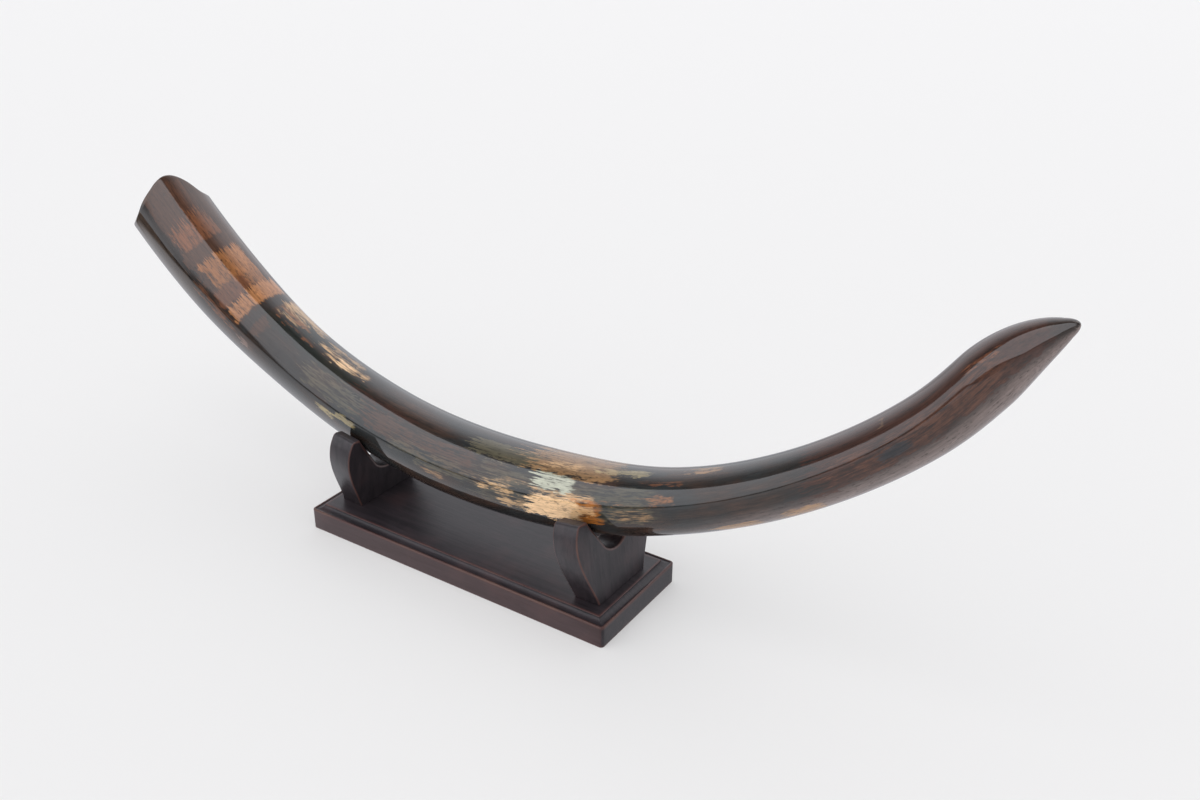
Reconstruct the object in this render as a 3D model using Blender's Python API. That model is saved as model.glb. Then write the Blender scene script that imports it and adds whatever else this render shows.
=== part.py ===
"""A polished mammoth tusk lying in the two cradles of its dark wooden display stand.

Metres, +Z up. +X runs along the plinth from the tusk's root end towards its tip, -Y is the
front. The origin is the middle of the plinth's underside.
"""
import math

import bpy
import numpy as np

MM = 0.001
GAP = 0.3 * MM  # clearance left between pieces that touch

# --- Plinth: a flat board with a small moulding round its top edge
PLINTH_LENGTH = 300.0 * MM
PLINTH_WIDTH = 106.4 * MM
PLINTH_CORNER = 2.0 * MM  # rounding of the upright corners
ARRIS_HEIGHT = 18.8 * MM  # top of the outer edge
QUIRK_INSET = 2.0 * MM  # groove just inside the outer edge
QUIRK_HEIGHT = 18.1 * MM
COVE_INSET = 7.8 * MM  # where the hollow moulding meets the panel
PANEL_HEIGHT = 21.8 * MM  # flat top that carries the cradles

# --- Cradles: two boards of one design across the plinth, leaning towards its middle
CRADLE_THICKNESS = 22.5 * MM
CRADLE_LEAN = math.radians(8.1)
CRADLE_FOOT = 124.0 * MM  # middle of each foot, from the middle of the plinth
# height up the board, half width of the bulging outline
FLANK_STATIONS = (
    (0 * MM, 31.5 * MM),
    (12 * MM, 36.5 * MM),
    (25 * MM, 42.0 * MM),
    (38 * MM, 46.8 * MM),
    (52 * MM, 49.6 * MM),
    (65 * MM, 48.3 * MM),
    (78 * MM, 42.0 * MM),
)
HORN_HEIGHT = 73.0 * MM  # measured up the board
HORN_FALL = 1.5 * MM  # the horn's top slopes down to the notch
HORN_OUTER_ROUND = 4.0 * MM
HORN_INNER_ROUND = 2.0 * MM
NOTCH_ANGLE = math.radians(33.0)  # slope of the notch flank, from upright
NOTCH_RADIUS = 17.0 * MM  # rounded bottom of the notch
NOTCH_EASE_LOW = 1.5 * MM  # rounding of the notch edges at its bottom
NOTCH_EASE_HIGH = 3.0 * MM  # and along its flanks
EDGE_EASE = 1.2 * MM  # rounding of the other edges

# --- Tusk: round sections along a curve that stays in one upright plane
TURN = math.radians(-1.1)  # tusk and cradles are turned a little on the plinth
TUSK_START = (-367.2 * MM, 241.7 * MM)  # x, z of the axis at the root, before the turn
TUSK_LENGTH = 928.0 * MM
TIP_START = 860.0 * MM  # the point is rounded over from here
TIP_BLUNT = (1.6, 0.7)  # powers that shape the rounded point
# distance along the axis, direction above +X, radius
TUSK_STATIONS = (
    (0 * MM, -46.0, 34.8 * MM),
    (100 * MM, -36.0, 33.7 * MM),
    (200 * MM, -24.5, 30.4 * MM),
    (300 * MM, -12.5, 30.8 * MM),
    (400 * MM, 0.0, 31.3 * MM),
    (500 * MM, 9.0, 30.0 * MM),
    (600 * MM, 22.0, 24.7 * MM),
    (700 * MM, 33.5, 22.3 * MM),
    (800 * MM, 45.5, 21.1 * MM),
    (TIP_START, 55.5, 20.6 * MM),
    (TUSK_LENGTH, 33.0, 20.6 * MM),
)
# the broken rim of the root: angle round the tusk (0 front, 90 top), distance along the axis
RIM_POINTS = (
    (-30, 8.5 * MM),
    (-13, 10.0 * MM),
    (5, 9.0 * MM),
    (23, 5.0 * MM),
    (41, 1.0 * MM),
    (60, -3.5 * MM),
    (72, -4.8 * MM),
    (86, -2.0 * MM),
    (101, 7.0 * MM),
    (113, 17.5 * MM),
    (127, 21.5 * MM),
    (150, 20.0 * MM),
    (190, 12.0 * MM),
    (235, 5.0 * MM),
    (285, 7.0 * MM),
)
RUN_OUT = 20.0 * MM  # the axis is carried this far past its start, for the rim
RIM_FADE = 120.0 * MM  # rings run square to the axis from here on
RIM_LIP = 4.0 * MM  # wall thickness at the rim, rounded over
CAVITY_END = 165.0 * MM  # bottom of the pulp cavity
AROUND = 32
RING_STEP = 14.0 * MM


def glide(knots, values, where):
    """Cubic curve through the given values, with slopes taken from the neighbours."""
    knots = np.asarray(knots, dtype=float)
    values = np.asarray(values, dtype=float)
    slopes = np.gradient(values, knots)
    where = np.clip(np.asarray(where, dtype=float), knots[0], knots[-1])
    left = np.clip(np.searchsorted(knots, where, side="right") - 1, 0, len(knots) - 2)
    span = knots[left + 1] - knots[left]
    t = (where - knots[left]) / span
    rise = 3 * t**2 - 2 * t**3
    start_pull = (t**3 - 2 * t**2 + t) * span
    end_pull = (t**3 - t**2) * span
    along = values[left] * (1 - rise) + values[left + 1] * rise
    return along + slopes[left] * start_pull + slopes[left + 1] * end_pull


def turned(point):
    """A point of the tusk or a cradle, turned with them on the plinth."""
    x, y, z = point
    return (x * math.cos(TURN) - y * math.sin(TURN), x * math.sin(TURN) + y * math.cos(TURN), z)


def make_object(name, points, faces, colour, roughness, smooth_angle):
    """Turn points and faces into a named object with its own material."""
    mesh = bpy.data.meshes.new(name)
    mesh.from_pydata([tuple(p) for p in points], [], faces)
    mesh.update()
    mesh.polygons.foreach_set("use_smooth", [True] * len(mesh.polygons))
    mesh.set_sharp_from_angle(angle=math.radians(smooth_angle))
    material = bpy.data.materials.new(name)
    material.use_nodes = True
    shader = material.node_tree.nodes["Principled BSDF"]
    shader.inputs["Base Color"].default_value = (*colour, 1.0)
    shader.inputs["Roughness"].default_value = roughness
    shader.inputs["Metallic"].default_value = 0.0
    mesh.materials.append(material)
    obj = bpy.data.objects.new(name, mesh)
    bpy.context.scene.collection.objects.link(obj)
    return obj


def skin(rows, close_start, close_end):
    """Faces between rows of points that each run once round; ends closed on request."""
    count = len(rows[0])
    points = [p for row in rows for p in row]
    faces = []
    for i in range(len(rows) - 1):
        for j in range(count):
            k = (j + 1) % count
            faces.append((i * count + j, i * count + k, (i + 1) * count + k, (i + 1) * count + j))
    if close_start:
        faces.append(tuple(reversed(range(count))))
    if close_end:
        last = (len(rows) - 1) * count
        faces.append(tuple(range(last, last + count)))
    return points, faces


# --- The tusk's axis -------------------------------------------------------------------------
stations, headings, radii = (np.array(column) for column in zip(*TUSK_STATIONS))
axis_s = np.linspace(-RUN_OUT, TUSK_LENGTH, 2001)
axis_heading = np.radians(glide(stations, headings, axis_s))
axis_step = axis_s[1] - axis_s[0]
middle_heading = (axis_heading[1:] + axis_heading[:-1]) / 2
axis_x = np.concatenate(([0.0], np.cumsum(np.cos(middle_heading) * axis_step)))
axis_z = np.concatenate(([0.0], np.cumsum(np.sin(middle_heading) * axis_step)))
axis_x += TUSK_START[0] - np.interp(0.0, axis_s, axis_x)
axis_z += TUSK_START[1] - np.interp(0.0, axis_s, axis_z)


def tusk_radius(s):
    """Radius of the tusk a distance s along its axis."""
    body = glide(stations[:-1], radii[:-1], s)
    u = np.clip((s - TIP_START) / (TUSK_LENGTH - TIP_START), 0.0, 1.0)
    return body * (1 - u ** TIP_BLUNT[0]) ** TIP_BLUNT[1]


def tusk_point(s, radius, angle):
    """Point at distance s along the axis, radius off it, angle round it (0 front, 90 top)."""
    heading = np.interp(s, axis_s, axis_heading)
    out = radius * math.sin(angle)
    x = np.interp(s, axis_s, axis_x) - out * math.sin(heading)
    z = np.interp(s, axis_s, axis_z) + out * math.cos(heading)
    return turned((float(x), -radius * math.cos(angle), float(z)))


def rim_distance(angle):
    """Where the wavy rim of the root lies along the axis, at an angle round the tusk."""
    degrees, places = (np.array(column) for column in zip(*RIM_POINTS))
    degrees = np.concatenate((degrees - 360, degrees, degrees + 360))
    turned = (math.degrees(angle) + 90) % 360 - 90
    return float(glide(degrees, np.tile(places, 3), turned))


# --- Tusk: cavity, rounded lip, body, rounded point -------------------------------------------
def build_tusk():
    angles = [-2 * math.pi * j / AROUND for j in range(AROUND)]
    rims = [rim_distance(angle) for angle in angles]
    rows = []
    # the conical pulp cavity, from its bottom out to the rim
    for i in range(10):
        depth = 1 - i / 10
        row = []
        for angle, rim in zip(angles, rims):
            start = rim + RIM_LIP / 2
            s = start + (CAVITY_END - start) * depth
            wide = tusk_radius(start) - RIM_LIP
            row.append(tusk_point(s, 1.5 * MM + (wide - 1.5 * MM) * (1 - depth) ** 0.85, angle))
        rows.append(row)
    # the lip, half a turn from inside to outside
    for i in range(5):
        turn = math.pi * i / 4
        row = []
        for angle, rim in zip(angles, rims):
            s = rim + RIM_LIP / 2 * (1 - math.sin(turn))
            radius = tusk_radius(rim + RIM_LIP / 2) - RIM_LIP / 2 * (1 + math.cos(turn))
            row.append(tusk_point(s, radius, angle))
        rows.append(row)
    # the body: rings start parallel to the rim and soon run square to the axis
    ring_count = round(TIP_START / RING_STEP)
    for i in range(1, ring_count + 1):
        t = TIP_START * i / ring_count
        follow = max(0.0, 1 - t / RIM_FADE) ** 2
        row = []
        for angle, rim in zip(angles, rims):
            s = t + (rim + RIM_LIP / 2) * follow
            row.append(tusk_point(s, tusk_radius(s), angle))
        rows.append(row)
    # the rounded point
    for i in range(1, 8):
        s = TIP_START + (TUSK_LENGTH - TIP_START) * math.sin(math.pi / 2 * i / 8)
        rows.append([tusk_point(s, tusk_radius(s), angle) for angle in angles])
    points, faces = skin(rows, False, False)
    # one point closes each end
    bottom = len(points)
    points.append(tusk_point(CAVITY_END + 1.5 * MM, 0.0, 0.0))
    points.append(tusk_point(TUSK_LENGTH, 0.0, 0.0))
    last = (len(rows) - 1) * AROUND
    for j in range(AROUND):
        k = (j + 1) % AROUND
        faces.append((bottom, k, j))
        faces.append((bottom + 1, last + j, last + k))
    return make_object("tusk", points, faces, (0.085, 0.052, 0.034), 0.16, 60)


# --- Plinth: one moulding profile carried round a rectangle ------------------------------------
def build_plinth():
    profile = [(0.5 * MM, 0.0), (0.0, 0.5 * MM)]
    for i in range(4):
        turn = math.pi / 2 * i / 3
        edge = 1.0 * MM
        profile.append((edge * (1 - math.cos(turn)), ARRIS_HEIGHT - edge * (1 - math.sin(turn))))
    profile.append((QUIRK_INSET - 0.3 * MM, ARRIS_HEIGHT))
    for i in range(7):
        turn = math.pi / 2 * i / 6
        inset = QUIRK_INSET + (COVE_INSET - QUIRK_INSET) * math.sin(turn)
        rise = (PANEL_HEIGHT - 0.5 * MM - QUIRK_HEIGHT) * (1 - math.cos(turn))
        profile.append((inset, QUIRK_HEIGHT + rise))
    profile.append((COVE_INSET + 0.2 * MM, PANEL_HEIGHT - 0.15 * MM))
    profile.append((COVE_INSET + 0.8 * MM, PANEL_HEIGHT))
    rows = []
    for inset, height in profile:
        row = []
        corner = max(PLINTH_CORNER - inset, 0.4 * MM)
        for quarter in range(4):
            for i in range(4):
                turn = math.pi / 2 * (quarter + i / 3)
                side_x = 1 if quarter in (0, 3) else -1
                side_y = 1 if quarter in (0, 1) else -1
                x = side_x * (PLINTH_LENGTH / 2 - inset - corner) + corner * math.cos(turn)
                y = side_y * (PLINTH_WIDTH / 2 - inset - corner) + corner * math.sin(turn)
                row.append((x, y, height))
        rows.append(row)
    points, faces = skin(rows, True, True)
    return make_object("plinth", points, faces, (0.045, 0.032, 0.030), 0.4, 35)


# --- Cradles ------------------------------------------------------------------------------------
def fillet(corner, before, after, radius, steps):
    """Points and outward normals of a rounded corner between two straight edges."""
    corner = np.array(corner)
    to_before = np.array(before) - corner
    to_after = np.array(after) - corner
    to_before /= np.linalg.norm(to_before)
    to_after /= np.linalg.norm(to_after)
    half = math.acos(np.clip(to_before @ to_after, -1, 1)) / 2
    middle = to_before + to_after
    middle /= np.linalg.norm(middle)
    centre = corner + middle * radius / math.sin(half)
    first = corner + to_before * radius / math.tan(half) - centre
    last = corner + to_after * radius / math.tan(half) - centre
    found = []
    for i in range(steps + 1):
        arm = first * math.cos(math.pi / 2 * i / steps) + last * math.sin(math.pi / 2 * i / steps)
        arm /= np.linalg.norm(arm)
        found.append((centre + arm * radius, arm))
    return found


def half_outline(seat):
    """Right half of the board's outline from the notch bottom round to the foot.

    Each entry is (across, up), outward normal and how much that edge is rounded over.
    """
    entries = []
    arc_up = seat + NOTCH_RADIUS / math.sin(NOTCH_ANGLE)
    sweep = math.pi / 2 - NOTCH_ANGLE
    for i in range(8):
        turn = sweep * i / 7
        out = np.array((math.sin(turn), -math.cos(turn)))
        ease = NOTCH_EASE_LOW + (NOTCH_EASE_HIGH - NOTCH_EASE_LOW) * (i / 7) ** 2
        entries.append(((0.0, arc_up) + out * NOTCH_RADIUS, -out, ease))
    # straight flank of the notch up to the horn
    inner_up = HORN_HEIGHT - HORN_FALL
    flank_end = np.array(((inner_up - seat) * math.tan(NOTCH_ANGLE), inner_up))
    flank_start = entries[-1][0]
    for share in (0.4, 0.8):
        place = flank_start + (flank_end - flank_start) * share
        entries.append((place, entries[-1][1], NOTCH_EASE_HIGH))
    # the horn's sloping top and its rounded outer corner
    ups, halves = (np.array(column) for column in zip(*FLANK_STATIONS))
    below = HORN_HEIGHT - 6 * MM
    flank_top = np.array((float(glide(ups, halves, HORN_HEIGHT)), HORN_HEIGHT))
    flank_low = np.array((float(glide(ups, halves, below)), below))
    for place, out in fillet(flank_end, flank_start, flank_top, HORN_INNER_ROUND, 3):
        entries.append((place, out, EDGE_EASE + 0.8 * MM))
    for place, out in fillet(flank_top, flank_end, flank_low, HORN_OUTER_ROUND, 4):
        entries.append((place, out, EDGE_EASE))
    # the bulging outer side down to the foot
    for i in range(1, 15):
        up = below * (1 - i / 14)
        step = 0.5 * MM
        lean = float(glide(ups, halves, up + step) - glide(ups, halves, max(up - step, 0.0)))
        rise = step + min(step, up)
        out = np.array((rise, -lean)) / math.hypot(rise, lean)
        entries.append((np.array((float(glide(ups, halves, up)), up)), out, EDGE_EASE))
    return entries


def build_cradle(name, side):
    """The cradle on side +-1 of the plinth; its top leans back towards the middle."""
    foot_x = side * CRADLE_FOOT
    foot_z = PANEL_HEIGHT + GAP
    lean_sin = -side * math.sin(CRADLE_LEAN)
    lean_cos = math.cos(CRADLE_LEAN)
    half = CRADLE_THICKNESS / 2
    # across the board thickness, how low must the V be so that it clears the tusk
    seats = []
    for w in np.linspace(-half, half, 9):
        on_board = (axis_x - foot_x) * lean_cos - (axis_z - foot_z) * lean_sin - w
        s = axis_s[np.argmin(np.abs(on_board))]
        up = (np.interp(s, axis_s, axis_x) - foot_x) * lean_sin
        up += (np.interp(s, axis_s, axis_z) - foot_z) * lean_cos
        clear = (tusk_radius(s) + GAP) / math.sin(NOTCH_ANGLE)
        relief = NOTCH_EASE_HIGH * max(0.0, abs(w) / half - 0.7)
        seats.append(up - clear + relief)
    right = half_outline(min(seats))
    left = [(p * (-1, 1), n * (-1, 1), e) for p, n, e in reversed(right[1:])]
    rows = []
    for face in (1, -1):
        for i in range(4):
            turn = math.pi / 2 * (1 - i / 3 if face > 0 else i / 3)
            row = []
            for place, out, ease in right + left:
                across, up = place - out * ease * (1 - math.cos(turn))
                w = face * (half - ease * (1 - math.sin(turn)))
                if place[1] < 0.5 * MM:
                    up = w * lean_sin / lean_cos  # the foot is cut level with the panel
                x = foot_x + w * lean_cos + up * lean_sin
                z = foot_z - w * lean_sin + up * lean_cos
                row.append(turned((x, across, z)))
            rows.append(row)
    points, faces = skin(rows, True, True)
    return make_object(name, points, faces, (0.050, 0.036, 0.034), 0.4, 35)


for old in list(bpy.data.objects):
    bpy.data.objects.remove(old, do_unlink=True)

build_tusk()
build_plinth()
build_cradle("root_cradle", -1)
build_cradle("tip_cradle", 1)
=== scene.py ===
# %% [markdown]
# # A polished mammoth tusk on its wooden stand
# The tusk lies in two leaning cradles that stand on a moulded plinth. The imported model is
# loaded first, as the frame: it says where every piece is. Then each piece is made again in
# finer detail around the same measurements, and gets a finish built from nodes.

# %% Load the frame
import math

import bpy
import numpy as np
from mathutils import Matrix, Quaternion, Vector


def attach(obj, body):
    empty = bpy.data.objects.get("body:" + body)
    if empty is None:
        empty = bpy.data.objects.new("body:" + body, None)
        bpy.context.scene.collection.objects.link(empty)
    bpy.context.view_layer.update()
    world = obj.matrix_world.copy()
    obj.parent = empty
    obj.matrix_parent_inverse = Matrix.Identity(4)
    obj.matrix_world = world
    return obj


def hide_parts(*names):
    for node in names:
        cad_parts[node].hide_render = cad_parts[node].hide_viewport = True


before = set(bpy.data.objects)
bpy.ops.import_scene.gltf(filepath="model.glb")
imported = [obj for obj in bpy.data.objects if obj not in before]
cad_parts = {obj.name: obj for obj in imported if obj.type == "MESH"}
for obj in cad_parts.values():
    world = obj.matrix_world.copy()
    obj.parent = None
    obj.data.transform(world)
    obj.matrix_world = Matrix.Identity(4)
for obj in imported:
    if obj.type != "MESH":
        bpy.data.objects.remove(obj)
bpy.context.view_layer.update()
print("nodes in the frame:", sorted(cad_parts))

MM = 0.001

# %% [markdown]
# ## Camera
# The camera looks down on the table from the front right. A Track To constraint could aim it,
# but it leaves no room for a roll. A camera in Blender looks along its own -Z, so a quaternion
# that tracks -Z to the viewing direction aims it, and a small roll is added about that same
# axis, as a hand-held frame is never quite level.

# %% Camera
EYE = Vector((0.5553, -0.6842, 0.5967))
LOOK = Vector((-0.48443, 0.74585, -0.45719))
ROLL = math.radians(0.65)
LENS = 37.38  # mm, on a 36 mm wide sensor

camera_data = bpy.data.cameras.new("camera")
camera_data.lens = LENS
camera_data.sensor_width = 36.0
camera_data.clip_start = 0.01
camera = bpy.data.objects.new("camera", camera_data)
camera.rotation_mode = "QUATERNION"
camera.rotation_quaternion = LOOK.to_track_quat("-Z", "Y") @ Quaternion((0, 0, 1), ROLL)
camera.location = EYE
bpy.context.scene.collection.objects.link(camera)
bpy.context.scene.camera = camera
bpy.context.scene.view_settings.view_transform = "Standard"
print("the camera stands", round(EYE.length, 3), "m from the middle of the plinth")

# %% [markdown]
# ## Writing shaders as sums
# Every number that flows through a shader is a socket. Nodes could be added and linked one by
# one, but a long finish then hides its own arithmetic. `Wire` wraps one socket, so that
# `1 - mask` or `streak * 0.4 + 0.2` adds the Math nodes by itself.


# %% The socket wrapper
class Wire:
    """One output socket of a shader tree, with Python's operators."""

    def __init__(self, finish, socket):
        self.finish = finish
        self.socket = socket

    def math(self, operation, *others):
        return self.finish.node("ShaderNodeMath", {"operation": operation}, [self, *others])

    def __add__(self, other):
        return self.math("ADD", other)

    __radd__ = __add__

    def __sub__(self, other):
        return self.math("SUBTRACT", other)

    def __rsub__(self, other):
        return (self * -1.0) + other

    def __mul__(self, other):
        return self.math("MULTIPLY", other)

    __rmul__ = __mul__

    def larger(self, other):
        return self.math("MAXIMUM", other)

    def ramp(self, low, high, top=1.0):
        """0 at low, top at high, a smooth step between. low may be above high."""
        settings = {"interpolation_type": "SMOOTHSTEP", "clamp": True}
        ends = (0.0, top) if low < high else (top, 0.0)
        inputs = [self, min(low, high), max(low, high), *ends]
        return self.finish.node("ShaderNodeMapRange", settings, inputs)


# %% [markdown]
# ## One tree for each finish
# `Finish` holds one material's node tree, or the world's. Its `node` adds any node from its
# type, its settings, which are set first because they can change the sockets, and its inputs.
# Colours and vectors have three numbers, and a Math node would keep only one of them, so they
# go through Mix and Vector Math.


# %% The node tree
class Finish:
    """A node tree of a material or of the world."""

    def __init__(self, owner):
        owner.use_nodes = True
        self.owner = owner
        self.tree = owner.node_tree
        self.tree.nodes.clear()

    def node(self, kind, settings=None, inputs=None, output=0):
        made = self.tree.nodes.new(kind)
        for name, value in (settings or {}).items():
            setattr(made, name, value)
        pairs = inputs.items() if isinstance(inputs, dict) else enumerate(inputs or [])
        for name, value in pairs:
            if isinstance(value, Wire):
                self.tree.links.new(value.socket, made.inputs[name])
            else:
                made.inputs[name].default_value = value
        return Wire(self, made.outputs[output]) if len(made.outputs) else made

    def vector(self, x, y, z):
        return self.node("ShaderNodeCombineXYZ", None, [x, y, z])

    def parts(self, vector):
        """The three numbers of a vector."""
        split = self.node("ShaderNodeSeparateXYZ", None, [vector]).socket.node
        return [Wire(self, output) for output in split.outputs]

    def times(self, vector, other):
        """Two vectors multiplied, number by number."""
        return self.node("ShaderNodeVectorMath", {"operation": "MULTIPLY"}, [vector, other])

    def step(self, vector, places, softness, before, after):
        """A smooth step of a vector's first two numbers, each at its own place."""
        settings = {"data_type": "FLOAT_VECTOR", "interpolation_type": "SMOOTHSTEP", "clamp": True}
        low = [place - soft for place, soft in zip(places, softness)] + [0.0]
        high = [place + soft for place, soft in zip(places, softness)] + [1.0]
        # sockets 6 to 10 take vectors: the input, its range from and to, the result from and to
        inputs = {6: vector, 7: low, 8: high, 9: [before] * 3, 10: [after] * 3}
        return self.node("ShaderNodeMapRange", settings, inputs, 1)

    def noise(self, vector, scale, detail, rough, twist=0.0):
        inputs = {"Vector": vector, "Scale": scale, "Detail": detail}
        inputs["Roughness"] = rough
        inputs["Distortion"] = twist
        return self.node("ShaderNodeTexNoise", {"noise_dimensions": "3D"}, inputs)

    def mix(self, under, over, share):
        """Colour under, covered by colour over where share is 1."""
        settings = {"data_type": "VECTOR", "clamp_factor": True}
        # socket 0 is the share, and 4 and 5 are the pair that takes vectors
        return self.node("ShaderNodeMix", settings, {0: share, 4: under, 5: over}, 1)

    def shade(self, colour, amount):
        """The colour made darker or lighter by a number."""
        return self.times(colour, self.vector(amount, amount, amount))


# %% A material
def surface(name, make, ior=1.5):
    """A material whose Principled sockets are fed by what make(finish) returns."""
    finish = Finish(bpy.data.materials.new(name))
    inputs = {"IOR": ior, **make(finish)}
    shader = finish.node("ShaderNodeBsdfPrincipled", None, inputs)
    finish.node("ShaderNodeOutputMaterial", None, {"Surface": shader})
    print("finish", name, "has", len(finish.tree.nodes), "nodes")
    return finish.owner


# %% [markdown]
# ## Light
# A polished round thing is mostly seen by what it reflects, so the light comes first. Lamps
# and cards could stand round the table, but each edge of their reflections would have to be
# found by moving them about. So the studio is described by directions alone: a bright soft
# panel fills the part of the sky that lies inside three planes at the front left, down to a
# foot just under the horizon, a pale wall stands at the back, and the gap between them stays
# dim. Planes give slanting edges that are easy to state and to move.

# %% The studio's edges
PANEL_BACK = (0.0, 0.977, 0.215)
PANEL_LEFT = (-0.423, 0.906, 0.0)
PANEL_RIGHT = (-0.634, 0.338, 0.695)
PANEL_FOOT = -0.125  # height of the panel's lower edge, as the sine of its elevation
PLANE_EDGE = 0.012  # an edge fades over this much to either side
FOOT_EDGE = 0.008

studio = Finish(bpy.data.worlds.new("studio"))
bpy.context.scene.world = studio.owner
towards = studio.node("ShaderNodeTexCoord", None, None, "Generated")
sideways, depthways, height = studio.parts(towards)


def beyond(plane):
    """How far a direction lies beyond a plane through the object."""
    return studio.node("ShaderNodeVectorMath", {"operation": "DOT_PRODUCT"}, [towards, plane], 1)


behind = beyond(PANEL_BACK).larger(beyond(PANEL_LEFT))
before = beyond(PANEL_RIGHT)
above = height.ramp(PANEL_FOOT - FOOT_EDGE, PANEL_FOOT + FOOT_EDGE)
panel = behind.ramp(PLANE_EDGE, -PLANE_EDGE) * before.ramp(-PLANE_EDGE, PLANE_EDGE) * above
print("the panel's foot is", round(math.degrees(math.asin(PANEL_FOOT)), 1), "degrees up")

# %% [markdown]
# ## The room and the table in the polish
# Round the panel the polish shows the dim gap, the back wall, which is lighter towards the
# ceiling, and the white table. The table has a slanting edge too, and a glare where the panel
# shines on it.

# %% The room's brightness
GAP_LIGHT = 0.12
SIDE_LIGHT = 0.55
SIDE_FADE = (0.0, -0.5)
BACK_LIGHT = (1.2, 0.95)  # at the height of the tusk, and what is added towards the ceiling
BACK_FADE = (0.15, 0.85)
TABLE_EDGE = (-0.458, 0.139, 0.878)
TABLE_DROP = (0.03, 0.06)  # how far under the panel's foot the table starts
TABLE_BEHIND = (0.1, 0.3)
HORIZON_FADE = 0.05
TABLE_LIGHT = 0.72
TABLE_GLARE = 0.75
GLARE_SIDEWAYS = (-0.4, -0.75)
GLARE_DEPTHWAYS = (0.45, -0.35)

back = height.larger(0.0) * BACK_LIGHT[1] + (BACK_LIGHT[0] - GAP_LIGHT)
side = before.ramp(*SIDE_FADE) * (SIDE_LIGHT - GAP_LIGHT)
room = back * behind.ramp(*BACK_FADE) + side + GAP_LIGHT
under_panel = height.ramp(PANEL_FOOT - TABLE_DROP[0], PANEL_FOOT - TABLE_DROP[1])
near_table = under_panel * beyond(TABLE_EDGE).ramp(PLANE_EDGE, -PLANE_EDGE)
far_table = behind.ramp(*TABLE_BEHIND) * height.ramp(0.0, -HORIZON_FADE)
table = near_table.larger(far_table)
glare = sideways.ramp(*GLARE_SIDEWAYS) * depthways.ramp(*GLARE_DEPTHWAYS) * TABLE_GLARE
room = room * (1.0 - table) + table * (glare + TABLE_LIGHT)
print("the table gives", TABLE_LIGHT, "to", TABLE_LIGHT + TABLE_GLARE)

# %% [markdown]
# ## What each ray meets
# A ray that leaves a polished surface meets the studio as it is. Matt surfaces get a softer
# mixture of the same light, so the shadows stay faint, and the camera itself sees only a
# plain wall, so no edge of the studio shows behind the object from any side.

# %% World light
PANEL_LIGHT = (1.75, 0.8)  # at the height of the tusk, and what is added towards the ceiling
SOFT_PANEL = 0.7
SOFT_ROOM = 0.84
COOL_WHITE = (0.975, 0.985, 1.04, 1)
WALL = (0.885, 0.885, 0.885, 1)

mirrored = panel * (height * PANEL_LIGHT[1] + PANEL_LIGHT[0]) + (1.0 - panel) * room
soft = panel * SOFT_PANEL + SOFT_ROOM
glossy = studio.node("ShaderNodeLightPath", None, None, "Is Glossy Ray")
glow = glossy * mirrored + (1.0 - glossy) * soft
seen = studio.node("ShaderNodeLightPath", None, None, "Is Camera Ray")
lit = studio.node("ShaderNodeBackground", None, {"Color": COOL_WHITE, "Strength": glow})
wall = studio.node("ShaderNodeBackground", None, {"Color": WALL, "Strength": 1.0})
both = studio.node("ShaderNodeMixShader", None, [seen, lit, wall])
studio.node("ShaderNodeOutputWorld", None, {"Surface": both})
print("the panel gives", PANEL_LIGHT, "the back wall", BACK_LIGHT)

# %% [markdown]
# ## Floor
# A wide matt white table top. It isn't attached to the object's body, so it isn't part of the
# object. Its own reflection in the polish is left to the world, which is as bright as the table
# below the horizon, so that the panel may reach a little below the table's far edge. A faint glow
# of its own keeps the shadows as light as they are on a table that is lit from all round.

# %% Floor
FLOOR_HALF = 12.0
WHITE_TOP = {
    "Base Color": (0.60, 0.59, 0.565, 1),
    "Roughness": 0.7,
    "Emission Color": (1, 1, 1, 1),
    "Emission Strength": 0.27,
}

floor_mesh = bpy.data.meshes.new("floor")
signs = ((-1, -1), (1, -1), (1, 1), (-1, 1))
floor_corners = [(x * FLOOR_HALF, y * FLOOR_HALF, 0.0) for x, y in signs]
floor_mesh.from_pydata(floor_corners, [], [(0, 1, 2, 3)])
floor_mesh.materials.append(surface("white_table", lambda f: WHITE_TOP))
floor = bpy.data.objects.new("floor", floor_mesh)
bpy.context.scene.collection.objects.link(floor)
floor.visible_glossy = False

# %% [markdown]
# ## Curves through a few measured stations
# The tusk's bend and thickness, and the cradles' outlines, are each given by a handful of
# measured places. Straight lines between them would show as kinks in the polish. `glide`
# joins them with a cubic curve, whose slope at each place comes from its neighbours.


# %% Curve helper
def glide(knots, values, where):
    knots = np.asarray(knots, dtype=float)
    values = np.asarray(values, dtype=float)
    slopes = np.gradient(values, knots)
    where = np.clip(np.asarray(where, dtype=float), knots[0], knots[-1])
    left = np.clip(np.searchsorted(knots, where, side="right") - 1, 0, len(knots) - 2)
    span = knots[left + 1] - knots[left]
    t = (where - knots[left]) / span
    rise = 3 * t**2 - 2 * t**3
    start_pull = (t**3 - 2 * t**2 + t) * span
    end_pull = (t**3 - t**2) * span
    along = values[left] * (1 - rise) + values[left + 1] * rise
    return along + slopes[left] * start_pull + slopes[left + 1] * end_pull


def columns(table):
    return [np.array(column, dtype=float) for column in zip(*table)]


# %% [markdown]
# ## The tusk's shape
# A tusk grows as a stack of cones, so a round section carried along a curved axis is its true
# form. A curve object with a bevel could give that, but its ends couldn't follow a broken rim.
# So the axis is summed up step by step from its direction, in one upright plane, and rings of
# points are set round it.

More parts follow.
